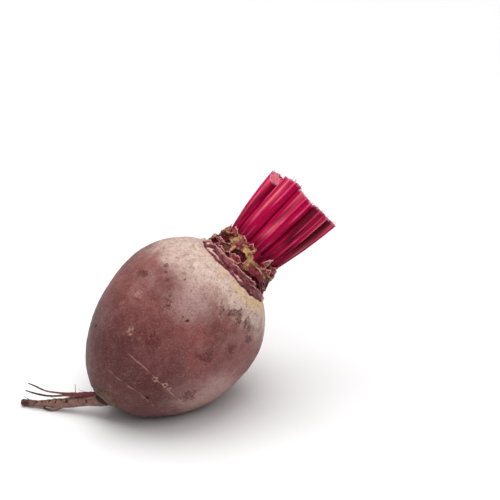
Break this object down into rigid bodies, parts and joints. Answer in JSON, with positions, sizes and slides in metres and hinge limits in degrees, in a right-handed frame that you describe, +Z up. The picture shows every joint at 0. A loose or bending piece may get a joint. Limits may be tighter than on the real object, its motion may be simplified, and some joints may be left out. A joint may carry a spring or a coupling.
{
  "type": "beetroot",
  "caption": "Trimmed beetroot lying on its side: a round swollen root with taproot and side roots, a scarred crown and a bunch of cut red leaf stalks.",
  "frame": {"origin": "middle of the bounding box's base, on the surface that the root lies on", "axes": "+Z up, +X the way the crown and its stalks point, -X towards the tail"},
  "size_m": [0.1453, 0.0761, 0.1038],
  "materials": {
    "beet_skin": "dull brown-purple skin with a corky tan shoulder",
    "stalk_red": "moist crimson stalk with pale ribs"
  },
  "bodies": {
    "root": {"beetroot": "beet_skin", "leaf_stalk_1": "stalk_red", "leaf_stalk_2": "stalk_red", "leaf_stalk_3": "stalk_red", "leaf_stalk_4": "stalk_red", "leaf_stalk_5": "stalk_red", "leaf_stalk_6": "stalk_red", "leaf_stalk_7": "stalk_red", "leaf_stalk_8": "stalk_red", "leaf_stalk_9": "stalk_red", "heart_stalk_1": "stalk_red", "heart_stalk_2": "stalk_red", "heart_stalk_3": "stalk_red", "heart_stalk_4": "stalk_red"}
  },
  "joints": []
}
